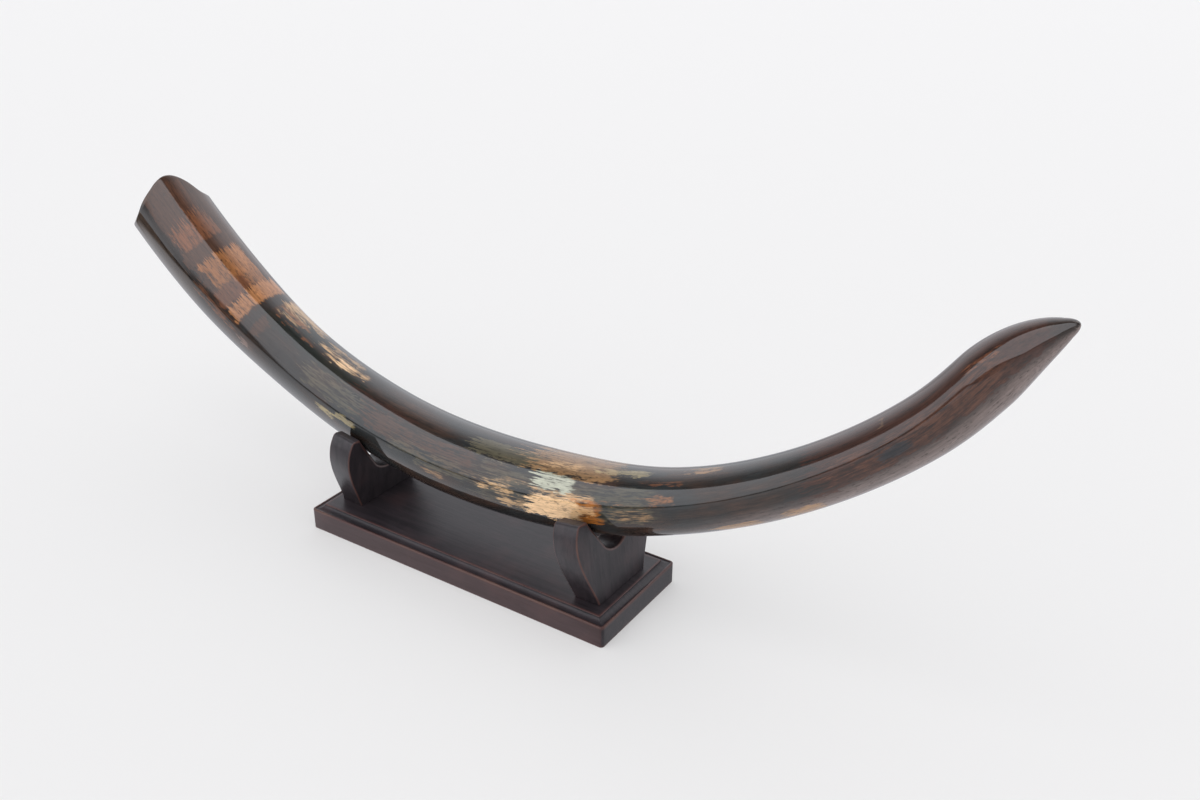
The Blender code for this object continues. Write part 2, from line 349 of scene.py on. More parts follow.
# %% The tusk's axis
TUSK_START = (-367.2 * MM, 241.7 * MM)
TUSK_LENGTH = 928.0 * MM
RUN_OUT = 20.0 * MM  # the axis also runs on past the root, for a rim that stands out
AXIS_STEPS = 4001
TUSK_STATIONS = (  # mm along, degrees above +X, radius in mm
    (0, -46.0, 34.8),
    (100, -36.0, 33.7),
    (200, -24.5, 30.4),
    (300, -12.5, 30.8),
    (400, 0.0, 31.3),
    (500, 9.0, 30.0),
    (600, 22.0, 24.7),
    (700, 33.5, 22.3),
    (800, 45.5, 21.1),
    (860, 55.5, 20.6),
    (928, 33.0, 20.6),
)

stations, headings, radii = columns(TUSK_STATIONS)
stations, radii = stations * MM, radii * MM
axis_s = np.linspace(-RUN_OUT, TUSK_LENGTH, AXIS_STEPS)
axis_heading = np.radians(glide(stations, headings, axis_s))
axis_step = axis_s[1] - axis_s[0]
middle_heading = (axis_heading[1:] + axis_heading[:-1]) / 2
axis_x = np.concatenate(([0.0], np.cumsum(np.cos(middle_heading) * axis_step)))
axis_z = np.concatenate(([0.0], np.cumsum(np.sin(middle_heading) * axis_step)))
axis_x += TUSK_START[0] - np.interp(0.0, axis_s, axis_x)
axis_z += TUSK_START[1] - np.interp(0.0, axis_s, axis_z)
print("the tusk's point is at", round(axis_x[-1], 4), round(axis_z[-1], 4))

# %% Points round the axis
TURN = math.radians(-1.1)  # tusk and cradles are turned a little on the plinth
TIP_START = 860.0 * MM
TIP_BLUNT = (1.6, 0.7)  # the taper from there to the point


def turned(points):
    """Points of the tusk or a cradle, turned with them on the plinth."""
    cosine, sine = math.cos(TURN), math.sin(TURN)
    spin = np.array(((cosine, -sine, 0), (sine, cosine, 0), (0, 0, 1)))
    return np.asarray(points) @ spin.T


def tusk_radius(s):
    body = glide(stations[:-1], radii[:-1], s)
    u = np.clip((s - TIP_START) / (TUSK_LENGTH - TIP_START), 0.0, 1.0)
    return body * (1 - u ** TIP_BLUNT[0]) ** TIP_BLUNT[1]


def tusk_points(s, radius, angle):
    """Points at distances s along the axis, at a radius and angle round it (0 front)."""
    heading = np.interp(s, axis_s, axis_heading)
    out = radius * np.sin(angle)
    x = np.interp(s, axis_s, axis_x) - out * np.sin(heading)
    z = np.interp(s, axis_s, axis_z) + out * np.cos(heading)
    return turned(np.stack((x, -radius * np.cos(angle) + 0 * s, z), axis=-1))


# %% [markdown]
# ## The rim of the root
# The root broke off in shallow scallops. A cut with a Boolean could make them, but it would
# leave long thin faces on a polished skin. The rim is a closed curve instead, how far along
# the axis the tusk starts at each angle round it, and the rings near the root follow it.

# %% The rim of the root
RIM_POINTS = (  # degrees round the tusk (0 front, 90 top), mm along the axis
    (-30, 8.5),
    (-13, 10.0),
    (5, 9.0),
    (23, 5.0),
    (41, 1.0),
    (60, -3.5),
    (72, -4.8),
    (86, -2.0),
    (101, 7.0),
    (113, 17.5),
    (127, 21.5),
    (150, 20.0),
    (190, 12.0),
    (235, 5.0),
    (285, 7.0),
)


def rim_distance(angle):
    degrees, places = columns(RIM_POINTS)
    degrees = np.concatenate((degrees - 360, degrees, degrees + 360))
    within = (np.degrees(angle) + 90) % 360 - 90
    return glide(degrees, np.tile(places * MM, 3), within)


# %% [markdown]
# ## A skin over rows of points
# The tusk, the plinth and the cradles are all closed skins over rows that run once round. One
# helper makes the faces between the rows, closes the ends, and keeps numbers at the points
# that a finish can read.


# %% Mesh helper
def row_faces(rings, around):
    """Four-sided faces between each row and the next."""
    i, j = np.meshgrid(np.arange(rings - 1), np.arange(around), indexing="ij")
    here, there = i * around, (i + 1) * around
    k = (j + 1) % around
    quads = np.stack((here + j, here + k, there + k, there + j), -1)
    return [tuple(int(c) for c in q) for q in quads.reshape(-1, 4)]


def ring_mesh(name, rows, ends, extras, material):
    """A closed skin over rows of points that each run once round.

    rows is (rings, around, 3). ends holds two points that close it, or None to close an end
    with one flat face. extras are point attributes of the same layout.
    """
    rings, around = rows.shape[:2]
    points = [tuple(p) for p in rows.reshape(-1, 3)]
    faces = row_faces(rings, around)
    last = (rings - 1) * around
    first_ring = range(around)
    if ends is None:
        faces.append(tuple(reversed(first_ring)))
        faces.append(tuple(range(last, last + around)))
    else:
        points += [tuple(p) for p in ends]
        near, far = len(points) - 2, len(points) - 1
        faces += [(near, (a + 1) % around, a) for a in first_ring]
        faces += [(far, last + a, last + (a + 1) % around) for a in first_ring]
    mesh = bpy.data.meshes.new(name)
    mesh.from_pydata(points, [], faces)
    for title, values in extras.items():
        flat = values.reshape(rings * around, -1)
        if ends is not None:
            flat = np.concatenate((flat, flat[:around].mean(0)[None], flat[last:].mean(0)[None]))
        kind = "FLOAT_VECTOR" if flat.shape[1] == 3 else "FLOAT"
        field = mesh.attributes.new(title, kind, "POINT")
        field.data.foreach_set("vector" if kind == "FLOAT_VECTOR" else "value", flat.ravel())
    mesh.polygons.foreach_set("use_smooth", [True] * len(mesh.polygons))
    mesh.materials.append(material)
    mesh.update()
    obj = bpy.data.objects.new(name, mesh)
    bpy.context.scene.collection.objects.link(obj)
    print(name, "has", len(mesh.polygons), "faces")
    return obj


# %% [markdown]
# ## The tusk's finish
# Buried ivory takes up minerals from the ground: it turns umber, blue-grey and nearly black,
# and where the outer layer was rubbed through on polishing, honey and cream show. All of it
# runs in fibres along the tusk, so noise in plain object coordinates wouldn't follow the bend.
# Each point keeps its place on the straightened tusk instead, and the finish works in the
# tusk's own measurements: millimetres along, and degrees round. The dark tones come first,
# and each window or stain is then laid over them in turn. A window is a span along by a span
# round, whose ends are frayed by the fibres, and only a share of its strands takes the colour.

# %% Stain colours
SOIL_BROWN = (0.030, 0.022, 0.018)
SLATE = (0.024, 0.027, 0.027)
BLACK_BROWN = (0.014, 0.010, 0.008)
UMBER = (0.075, 0.036, 0.022)
CHESTNUT = (0.125, 0.052, 0.028)
RED_BROWN = (0.056, 0.025, 0.018)
GREEN_BLACK = (0.018, 0.022, 0.018)
BLUE_BLACK = (0.018, 0.028, 0.034)
OLIVE = (0.115, 0.100, 0.062)
HONEY = (0.24, 0.088, 0.036)
GOLD = (0.34, 0.138, 0.048)
BRIGHT_GOLD = (0.45, 0.195, 0.075)
AMBER = (0.42, 0.140, 0.022)
TAN = (0.37, 0.21, 0.095)
YELLOW = (0.40, 0.32, 0.16)
CREAM = (0.60, 0.37, 0.18)
PALE = (0.80, 0.53, 0.29)
GREEN_WHITE = (0.46, 0.47, 0.36)
PINK = (0.28, 0.18, 0.145)
ROSE_AND_BOUNCE_LIGHT = (0.215, 0.165, 0.150)
# a grey for the painted glint at the very point
TIP_GLINT_GREY = (0.20, 0.18, 0.16)
SOIL = (0.055, 0.037, 0.026)
INK = (0.006, 0.006, 0.006)

# colour, from and to mm along, how far each end frays, from and to degrees round,
# share of strands, strength
WINDOWS = (
    (UMBER, -10, 172, 3, 16, 22, 128, 0.80, 0.80),
    (BLACK_BROWN, -5, 95, 3, 24, -4, 27, 0.90, 0.90),
    (SOIL, -5, 105, 24, 24, -60, 12, 0.70, 0.75),
    (CHESTNUT, 2, 44, 8, 16, 64, 90, 0.50, 0.35),
    (HONEY, 38, 70, 16, 8, 62, 99, 0.60, 0.60),
    (HONEY, 44, 70, 16, 8, 30, 64, 0.55, 0.65),
    (GOLD, 83, 117, 8, 16, 60, 106, 0.92, 0.88),
    (BRIGHT_GOLD, 86, 112, 8, 16, 84, 104, 0.55, 0.50),
    (GOLD, 84, 116, 8, 16, 30, 64, 0.58, 0.74),
    (GOLD, 108, 134, 8, 8, 76, 106, 0.65, 0.70),
    (BRIGHT_GOLD, 129, 149, 8, 8, 60, 124, 0.92, 0.85),
    (BRIGHT_GOLD, 132, 149, 8, 8, 18, 66, 0.62, 0.68),
    (HONEY, 88, 152, 24, 24, 2, 19, 0.34, 0.42),
    (UMBER, 70, 83, 3, 8, 20, 112, 1.00, 0.75),
    (HONEY, 113, 131, 8, 8, 60, 77, 0.75, 0.50),
    (CHESTNUT, 114, 131, 8, 8, 18, 62, 0.95, 1.00),
    (SLATE, 149, 161, 8, 8, 15, 118, 0.85, 0.70),
    (GREEN_BLACK, 158, 295, 8, 36, 56, 75, 0.95, 0.80),
    (GREEN_BLACK, 162, 232, 8, 24, 80, 108, 0.90, 0.75),
    (CREAM, 161, 194, 8, 16, 79, 87, 0.38, 0.50),
    (CREAM, 161, 196, 8, 16, 93, 104, 0.36, 0.62),
    (GOLD, 162, 205, 8, 24, 85, 98, 0.42, 0.60),
    (CREAM, 161, 212, 8, 36, 101, 134, 0.62, 0.75),
    (HONEY, 164, 226, 8, 36, 73, 80, 0.52, 0.60),
    (CREAM, 217, 250, 16, 8, 78, 97, 0.22, 0.70),
    (PALE, 242, 266, 8, 8, 74, 94, 0.40, 0.78),
    (CREAM, 258, 284, 8, 16, 80, 97, 0.28, 0.68),
    (CREAM, 224, 268, 16, 16, 97, 110, 0.45, 0.50),
    (RED_BROWN, 272, 356, 16, 16, 56, 67, 0.80, 0.60),
    (PALE, 789, 793, 3, 3, 43, 68, 0.50, 0.30),
    (YELLOW, 271, 296, 8, 8, 0, 11, 0.66, 0.62),
    (YELLOW, 253, 273, 8, 8, -9, 6, 0.36, 0.60),
    (PINK, 151, 167, 8, 8, -3, 3, 0.70, 0.40),
    (OLIVE, 222, 300, 24, 24, 18, 58, 0.34, 0.45),
    (CHESTNUT, 296, 430, 24, 36, 15, 54, 0.45, 0.42),
    (OLIVE, 330, 430, 24, 24, 4, 30, 0.34, 0.50),
    (TAN, 372, 396, 8, 8, -5, 6, 0.26, 0.45),
    (OLIVE, 425, 600, 24, 36, -14, 48, 0.42, 0.45),
    (CREAM, 428, 474, 16, 16, 6, 25, 0.22, 0.74),
    (CREAM, 446, 480, 16, 16, -11, 8, 0.30, 0.75),
    (TAN, 434, 486, 16, 16, 26, 36, 0.12, 0.50),
    (OLIVE, 412, 482, 16, 24, 52, 80, 0.92, 0.75),
    (TAN, 468, 556, 36, 36, 50, 122, 0.70, 0.62),
    (CREAM, 487, 526, 16, 16, 60, 80, 0.36, 0.55),
    (CREAM, 474, 544, 24, 16, 14, 30, 0.34, 0.82),
    (GREEN_WHITE, 482, 522, 16, 16, 27, 54, 0.56, 0.86),
    (AMBER, 514, 548, 16, 16, -8, 21, 0.50, 0.80),
    (AMBER, 512, 549, 16, 16, -18, -6, 0.62, 0.72),
    (PALE, 478, 527, 16, 16, -17, 19, 0.78, 1.00),
    (CREAM, 518, 543, 8, 8, -4, 12, 0.42, 0.78),
    (YELLOW, 536, 588, 16, 24, 67, 84, 0.60, 0.50),
    (TAN, 554, 594, 16, 16, -9, 9, 0.24, 0.58),
    (GOLD, 546, 576, 8, 16, 15, 22, 0.30, 0.60),
    (GOLD, 584, 614, 16, 8, 13, 34, 0.30, 0.58),
    (HONEY, 584, 624, 16, 16, 48, 60, 0.34, 0.40),
    (TAN, 620, 652, 16, 16, 72, 91, 0.40, 0.50),
    (TAN, 636, 674, 16, 16, -80, -36, 0.70, 0.75),
    (TAN, 690, 724, 16, 16, -80, -34, 0.62, 0.74),
    (RED_BROWN, 722, 915, 36, 24, -24, 190, 0.68, 0.78),
    (CHESTNUT, 740, 890, 36, 24, -22, 30, 0.30, 0.42),
    (BLUE_BLACK, 780, 807, 8, 16, -13, 7, 0.80, 0.72),
    (HONEY, 862, 890, 8, 8, 30, 44, 0.36, 0.42),
    # a painted grey glint, a highlight laid round the very point
    (TIP_GLINT_GREY, 926, 940, 3, 3, -400, 400, 1.00, 0.30),
    (INK, 279, 289, 3, 3, 49, 53, 0.80, 0.90),
    (INK, 302, 345, 3, 3, 50, 53, 0.38, 0.85),
    (CHESTNUT, 190, 440, 36, 36, -160, -60, 0.52, 0.55),
    (HONEY, 60, 150, 36, 16, 132, 172, 0.50, 0.60),
    (TAN, 440, 540, 36, 24, -140, -50, 0.42, 0.55),
    (OLIVE, 300, 620, 36, 36, 118, 170, 0.45, 0.50),
)

# %% [markdown]
# ## Fibres, and the dark body under them
# Noise that is drawn out along the tusk looks like fibres. Five sizes of it are enough:
# strands, hairs, flakes, a slow drift and fine pits. The dark body drifts between soil brown
# and slate, with umber where the fibres are thin. Underneath, towards the point, it turns to
# a paler rose, partly the ivory's own tone and partly painted light bounced up from the table.

# %% Fibres
FIBRES = {  # waves a metre along and across, detail, roughness, twist
    "strand": (26.0, 400.0, 4.0, 0.62, 0.15),
    "hair": (75.0, 1000.0, 2.0, 0.6, 0.0),
    "flake": (110.0, 330.0, 4.0, 0.62, 0.2),
    "drift": (14.0, 48.0, 4.0, 0.55, 0.3),
    "pits": (230.0, 800.0, 2.0, 0.5, 0.0),
}
SLATE_SPAN = ((150, 260), (860, 640))  # mm along, where the slate comes and goes
BOUNCE_ROSE_FRONT = (-6, -52)  # degrees round, where the rose starts under the front
BOUNCE_ROSE_BACK = (-175, -120)
BOUNCE_ROSE_ALONG = (580, 700)


def fibres(f, place, name):
    along_scale, across_scale, detail, rough, twist = FIBRES[name]
    stretched = f.times(place, (along_scale, across_scale, across_scale))
    return f.noise(stretched, 1.0, detail, rough, twist)


def dark_body(f, along_mm, round_deg, flake, drift, weave):
    slaty = drift.ramp(0.60, 0.40) * along_mm.ramp(*SLATE_SPAN[0]) * along_mm.ramp(*SLATE_SPAN[1])
    colour = f.mix(SOIL_BROWN, SLATE, slaty)
    colour = f.mix(colour, BLACK_BROWN, flake.ramp(0.45, 0.75) * 0.6)
    colour = f.mix(colour, UMBER, drift.ramp(0.48, 0.70) * weave * 0.65)
    # underneath towards the point: painted light bounced up from the white table, partly the
    # ivory's own paler tone
    under = round_deg.ramp(*BOUNCE_ROSE_FRONT) * round_deg.ramp(*BOUNCE_ROSE_BACK) * along_mm.ramp(*BOUNCE_ROSE_ALONG)
    return f.mix(colour, ROSE_AND_BOUNCE_LIGHT, under * 0.9)


print("the tusk's finish uses", len(FIBRES), "sizes of fibre and", len(WINDOWS), "windows")

# %% [markdown]
# ## Laying the windows
# A painted mask for each window would be easy to draw and hard to fray. Here a window is four
# smooth steps multiplied together: where it starts and stops along, and where round. Before
# the steps are taken, the fibres push the measurements to and fro, so each end frays. The
# weave then decides which strands inside the window are covered.

# %% Windows
FRAY_REACH = 0.8  # the share of a window's fray that the fibres push its ends
COVERED = (1.0, 1.55)  # from a strand's first tint to its full tint


def end_softness(fray_mm):
    """How soft a window's edge is: mm along, and degrees round."""
    return 1 + fray_mm * 0.45, 2 + fray_mm * 0.2


def lay_windows(f, colour, along_mm, turn, fray, weave):
    frayed = {}
    for tint, start, stop, fray_in, fray_out, low, high, share, strength in WINDOWS:
        for reach in (fray_in, fray_out):
            if reach not in frayed:
                frayed[reach] = f.vector(along_mm + fray * (reach * FRAY_REACH), turn, 0.0)
        begun = f.step(frayed[fray_in], (start, low), end_softness(fray_in), 0, 1)
        ended = f.step(frayed[fray_out], (stop, high), end_softness(fray_out), 1, 0)
        across, around, _ = f.parts(f.times(begun, ended))
        inside = across * around
        strands = inside.math("MULTIPLY_ADD", share + 0.5, weave)
        colour = f.mix(colour, tint, strands.ramp(*COVERED, strength))
    return colour


# %% [markdown]
# ## The polish
# The ivory was polished to a near mirror, which the fibres only just disturb: a very small
# bump along the strands and a little roughness on the flakes. The fibres also make the colour
# itself lighter and darker, and soil has stayed in the pits.

# %% Tusk finish
ROUND_TO_DEGREES = 180 / math.pi
POLISH = {"Strength": 0.05, "Distance": 0.0004}


def tusk_finish(f):
    place = f.node("ShaderNodeAttribute", {"attribute_name": "straight"}, None, "Vector")
    along, side, up = f.parts(place)
    along_mm = along * 1000.0
    round_deg = up.math("ARCTAN2", side) * ROUND_TO_DEGREES
    strand, hair, flake, drift = [
        fibres(f, place, name) for name in ("strand", "hair", "flake", "drift")
    ]
    fray = (strand - 0.5) * 1.6 + (hair - 0.5) * 2.2
    sway = (flake - 0.5) * 24.0 + (drift - 0.5) * 12.0
    turn = round_deg + sway
    weave = (strand * 0.40 + hair * 0.32 + flake * 0.28).ramp(0.34, 0.66)
    colour = dark_body(f, along_mm, round_deg, flake, drift, weave)
    colour = lay_windows(f, colour, along_mm, turn, fray, weave)
    colour = f.mix(colour, SOIL_BROWN, fibres(f, place, "pits").ramp(0.57, 0.68, 0.5))
    colour = f.shade(colour, strand * 1.1 + hair * 1.0 + flake * 0.6 + drift * 0.4 - 0.50)
    relief = f.node("ShaderNodeBump", None, {**POLISH, "Height": strand})
    rough = flake * 0.05 + 0.035
    return {"Base Color": colour, "Roughness": rough, "Normal": relief}


polished_ivory = surface("polished_ivory", tusk_finish, 1.54)

# %% [markdown]
# ## The worn point
# The taper alone would end in a needle. The real point is a blunt nose, and its front is
# rubbed flat over the last few centimetres. Sculpting would do it, but two small rules keep
# it exact: the last millimetres close like a square root, and inside the flat's angle each
# point is pulled back to a straight chord.

# %% The worn point
NOSE = 8.0 * MM  # the very end is blunter than the taper behind it
NOSE_BLUNT = 0.5
NOSE_PULL = 1.05 * MM
FLAT_AT = math.radians(20.0)
FLAT_HALF = math.radians(20.0)
FLAT_STATIONS = (  # mm along, share of the flat's full width
    (870, 0.0),
    (884, 0.45),
    (897, 1.0),
    (916, 1.0),
    (928, 0.6),
)


def nose_radius(s):
    """The radius near the point, drawn in at the very end."""
    closing = min(1.0, (TUSK_LENGTH - s) / NOSE)
    return tusk_radius(min(s, TUSK_LENGTH - NOSE)) * closing**NOSE_BLUNT


def rubbed_flat(s, angle):
    """The share of its radius that the point keeps where it is rubbed flat."""
    places, widths = columns(FLAT_STATIONS)
    half = FLAT_HALF * np.interp(s, places * MM, widths)
    off = (angle - FLAT_AT + math.pi) % (2 * math.pi) - math.pi
    return np.where(np.abs(off) < half, np.cos(half) / np.cos(np.clip(off, -half, half)), 1.0)


print("the flat is up to", round(math.degrees(2 * FLAT_HALF)), "degrees wide")

# %% [markdown]
# ## Making the tusk
# Rows run from the bottom of the pulp cavity out to the rim, over the rounded lip, and down
# the outside to the point, so the cavity is a real hollow with a real wall. Near the root the
# rows follow the broken rim, then they straighten. The skin lies a hair inside the frame's.

# %% The tusk's rows
RIM_FADE = 120.0 * MM
RIM_LIP = 4.0 * MM
CAVITY_END = 165.0 * MM
CAVITY_TIP = 1.5 * MM  # the cavity's bottom is this wide, and closes this much further in
CAVITY_SWELL = 0.85
FINE_INSET = 0.15 * MM
AROUND = 128
RING_STEP = 2.2 * MM
CAVITY_ROWS, LIP_ROWS, POINT_ROWS = 28, 11, 42


def build_tusk():
    angle = -2 * math.pi * np.arange(AROUND) / AROUND
    rim = rim_distance(angle) + FINE_INSET
    start = rim + RIM_LIP / 2
    rows, places = [], []

    def add(s, radius):
        s = s + 0 * angle
        rows.append(tusk_points(s, radius - FINE_INSET, angle))
        places.append(np.stack((s, radius * np.cos(angle), radius * np.sin(angle)), -1))

    for depth in np.linspace(1, 1 / CAVITY_ROWS, CAVITY_ROWS):
        wide = tusk_radius(start) - RIM_LIP - CAVITY_TIP
        add(start + (CAVITY_END - start) * depth, CAVITY_TIP + wide * (1 - depth) ** CAVITY_SWELL)
    for half_turn in np.linspace(0, math.pi, LIP_ROWS):
        lip = tusk_radius(start) - RIM_LIP / 2 * (1 + math.cos(half_turn))
        add(rim + RIM_LIP / 2 * (1 - math.sin(half_turn)), lip)
    ring_count = round(TIP_START / RING_STEP)
    for i in range(1, ring_count + 1):
        t = TIP_START * i / ring_count
        s = t + start * max(0.0, 1 - t / RIM_FADE) ** 2
        add(s, tusk_radius(s))
    for turn in np.linspace(0, math.pi / 2, POINT_ROWS)[1:-1]:
        share = math.sin(turn)
        s = TIP_START + (TUSK_LENGTH - TIP_START) * share
        pulled = s - FINE_INSET - NOSE_PULL * share**8
        add(pulled, nose_radius(s) * rubbed_flat(s, angle))
    end_places = (CAVITY_END + CAVITY_TIP, TUSK_LENGTH - FINE_INSET - NOSE_PULL)
    ends = tusk_points(np.array(end_places), 0.0, 0.0)
    extras = {"straight": np.array(places)}
    return ring_mesh("tusk_polished", np.array(rows), ends, extras, polished_ivory)


tusk = build_tusk()
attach(tusk, "root")
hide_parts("tusk")

# %% [markdown]
# ## The stand's finish
# The stand is hardwood under an espresso stain and a thin satin lacquer. The stain has rubbed
# off the arrises, so they show a paler red-brown. A Bevel node could find the arrises, but
# it is slow and can't be exported. Each stand piece carries a `wear_and_sheen` number at its
# points instead, 1 on an arris, which noise breaks up. On the plinth's long faces the same
# number also paints a reddish sheen: painted light from the panel at the front left.

# %% Wood finish
STAIN = (0.018, 0.0145, 0.017)
STAIN_LIGHT = (0.044, 0.034, 0.038)
# the red of stain rubbed thin, and also the painted reddish sheen of light on the plinth's long
# faces
RED_STAIN_AND_SHEEN = (0.105, 0.046, 0.040)
BARE = (0.130, 0.070, 0.050)
PORES_FINER = 3.2  # how much finer the pores are than the grain
PATCHES = 28.0  # patches a metre where the stain took less or more
LACQUER = {"Strength": 0.35, "Distance": 0.0003}


def wood_finish(grain_scale):
    def make(f):
        place = f.node("ShaderNodeTexCoord", None, None, "Object")
        wear_and_sheen = f.node("ShaderNodeAttribute", {"attribute_name": "wear_and_sheen"}, None, "Fac")
        grain = f.noise(f.times(place, grain_scale), 1.0, 6.0, 0.65, 0.4)
        pore_scale = tuple(value * PORES_FINER for value in grain_scale)
        pores = f.noise(f.times(place, pore_scale), 1.0, 2.0, 0.5)
        patches = f.noise(place, PATCHES, 3.0, 0.5)
        light = grain.ramp(0.35, 0.7) * 0.7 + patches.ramp(0.4, 0.7) * 0.3
        colour = f.mix(STAIN, STAIN_LIGHT, light)
        colour = f.shade(colour, pores.ramp(0.28, 0.42) * 0.45 + 0.55)
        # red where the stain is thin, plus a painted sheen of light on the plinth's long faces
        thin_stain_and_sheen = wear_and_sheen.ramp(0.0, 0.6) * 0.6 + patches.ramp(0.5, 0.75) * 0.2
        colour = f.mix(colour, RED_STAIN_AND_SHEEN, thin_stain_and_sheen)
        rubbed = (wear_and_sheen * 0.9 + patches * 0.9 + pores * 0.4 + grain * 0.5 - 1.3).ramp(0.2, 0.8)
        colour = f.mix(colour, BARE, rubbed * 0.7)
        relief = f.node("ShaderNodeBump", None, {**LACQUER, "Height": grain * 0.6 + pores * 0.4})
        return {"Base Color": colour, "Roughness": grain * 0.15 + 0.33, "Normal": relief}

    return make


# the grain runs along the board, and up the cradles
board_wood = surface("espresso_board", wood_finish((14.0, 260.0, 160.0)), 1.38)
cradle_wood = surface("espresso_cradle", wood_finish((220.0, 220.0, 16.0)), 1.45)

# %% [markdown]
# ## Plinth
# A joiner runs one moulding cutter round a board: upright edge, rounded arris, a fine quirk,
# a cove and the raised flat panel. Bevels on a box could follow, but a cove can't be had from
# them. So the cutter's profile is carried round a rectangle with slightly rounded corners.

# %% Plinth measurements
PLINTH_LENGTH = 300.0 * MM
PLINTH_WIDTH = 106.4 * MM
PLINTH_CORNER = 3.2 * MM
CORNER_LEAST = 0.4 * MM
ARRIS_HEIGHT = 18.8 * MM
ARRIS_ROUND = 1.0 * MM
QUIRK_INSET = 2.0 * MM
QUIRK_HEIGHT = 18.1 * MM
QUIRK_WALL = 0.3 * MM
COVE_INSET = 7.8 * MM
PANEL_HEIGHT = 21.8 * MM
PANEL_STEP = 0.5 * MM
FOOT_PROFILE = (  # mm inset, mm high, wear
    (0.5, 0.0, 0.3),
    (0.15, 0.15, 0.8),
    (0.0, 0.5, 0.8),
    (0.0, 1.5, 0.2),
)
SIDE_HEIGHTS = (4.0, 6.2, 8.4, 10.6, 12.8, 15.0)
PANEL_PROFILE = (  # mm in from the cove, mm under the panel, wear
    (0.05, 0.3, 0.7),
    (0.2, 0.12, 0.9),
    (0.45, 0.03, 0.9),
    (0.8, 0.0, 0.6),
    (2.5, 0.0, 0.0),
)
PANEL_INSETS = (20, 35, 50)


# %% The plinth's profile
def plinth_profile():
    """(inset, height, wear) from the underside to the panel."""
    profile = [(inset * MM, height * MM, wear_and_sheen) for inset, height, wear_and_sheen in FOOT_PROFILE]
    profile += [(0.0, height * MM, 0.0) for height in SIDE_HEIGHTS]
    profile.append((0.0, 17.0 * MM, 0.3))
    for turn in np.linspace(0, math.pi / 2, 7):
        inset = ARRIS_ROUND * (1 - math.cos(turn))
        profile.append((inset, ARRIS_HEIGHT - ARRIS_ROUND * (1 - math.sin(turn)), 1.0))
    profile.append((QUIRK_INSET - QUIRK_WALL, ARRIS_HEIGHT, 0.8))
    for turn in np.linspace(0, math.pi / 2, 13):
        inset = QUIRK_INSET + (COVE_INSET - QUIRK_INSET) * math.sin(turn)
        rise = (PANEL_HEIGHT - PANEL_STEP - QUIRK_HEIGHT) * (1 - math.cos(turn))
        profile.append((inset, QUIRK_HEIGHT + rise, 0.0))
    for inset, drop, wear_and_sheen in PANEL_PROFILE:
        profile.append((COVE_INSET + inset * MM, PANEL_HEIGHT - drop * MM, wear_and_sheen))
    return profile + [(inset * MM, PANEL_HEIGHT, 0.0) for inset in PANEL_INSETS]


profile = plinth_profile()
print("the plinth's profile has", len(profile), "points")


# %% Making the plinth
# a painted reddish sheen of light on the plinth's long faces, carried in the wear number
LONG_FACE_SHEEN = 0.32


def rectangle_loop(inset, height):
    """Points once round the plinth at an inset and a height: each corner, then its side."""
    corner = max(PLINTH_CORNER - inset, CORNER_LEAST)
    half_length = PLINTH_LENGTH / 2 - inset - corner
    half_width = PLINTH_WIDTH / 2 - inset - corner
    arcs = []
    for quarter, (x_sign, y_sign) in enumerate(((1, 1), (-1, 1), (-1, -1), (1, -1))):
        turns = np.linspace(0, math.pi / 2, 7) + math.pi / 2 * quarter
        centre = np.array((x_sign * half_length, y_sign * half_width))
        arcs.append([centre + corner * np.array((math.cos(t), math.sin(t))) for t in turns])
    loop = []
    for arc, following in zip(arcs, arcs[1:] + arcs[:1]):
        side = following[0] - arc[-1]
        loop += arc + [arc[-1] + side * share for share in np.linspace(0, 1, 26)[1:-1]]
    return [(x, y, height) for x, y in loop]


plinth_rows = np.array([rectangle_loop(inset, height) for inset, height, _ in profile])
plinth_wear_and_sheen = np.array([[wear_and_sheen] * plinth_rows.shape[1] for _, _, wear_and_sheen in profile])
# the long faces get the painted sheen of light on top of their real wear
on_long_edge = np.abs(plinth_rows[..., 1]) > PLINTH_WIDTH / 2 - 0.6 * MM
plinth_wear_and_sheen = np.maximum(plinth_wear_and_sheen, np.where(on_long_edge, LONG_FACE_SHEEN, 0.0))
plinth = ring_mesh("plinth_board", plinth_rows, None, {"wear_and_sheen": plinth_wear_and_sheen[..., None]}, board_wood)
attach(plinth, "root")
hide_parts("plinth")

# %% [markdown]
# ## Cradles
# Each cradle is a board sawn to an outline like a shallow vase, with a notch that the tusk
# sinks into. It leans inwards so that its faces stand square to the tusk. A Boolean with the
# tusk would cut the notch, but a joiner saws it straight-sided with a round bottom, so the
# outline is drawn once, from the bottom of the notch round to the foot, and mirrored.

# %% Cradle measurements
CRADLE_THICKNESS = 22.5 * MM
CRADLE_LEAN = math.radians(8.1)
CRADLE_FOOT = 124.0 * MM
FLANK_STATIONS = (  # mm up the board, half width in mm
    (0, 31.5),
    (12, 36.5),
    (25, 42.0),
    (38, 46.8),
    (52, 49.6),
    (65, 48.3),
    (78, 42.0),
)
HORN_HEIGHT = 73.0 * MM
HORN_FALL = 1.5 * MM
HORN_OUTER_ROUND = 4.0 * MM
HORN_INNER_ROUND = 2.0 * MM
FLANK_STRAIGHT = 6.0 * MM  # the flank runs straight into the horn's outer corner
NOTCH_ANGLE = math.radians(33.0)
NOTCH_RADIUS = 17.0 * MM
NOTCH_EASE_LOW = 1.5 * MM
NOTCH_EASE_HIGH = 3.0 * MM
HORN_EASE = 2.0 * MM
EDGE_EASE = 1.2 * MM
GAP = 0.3 * MM


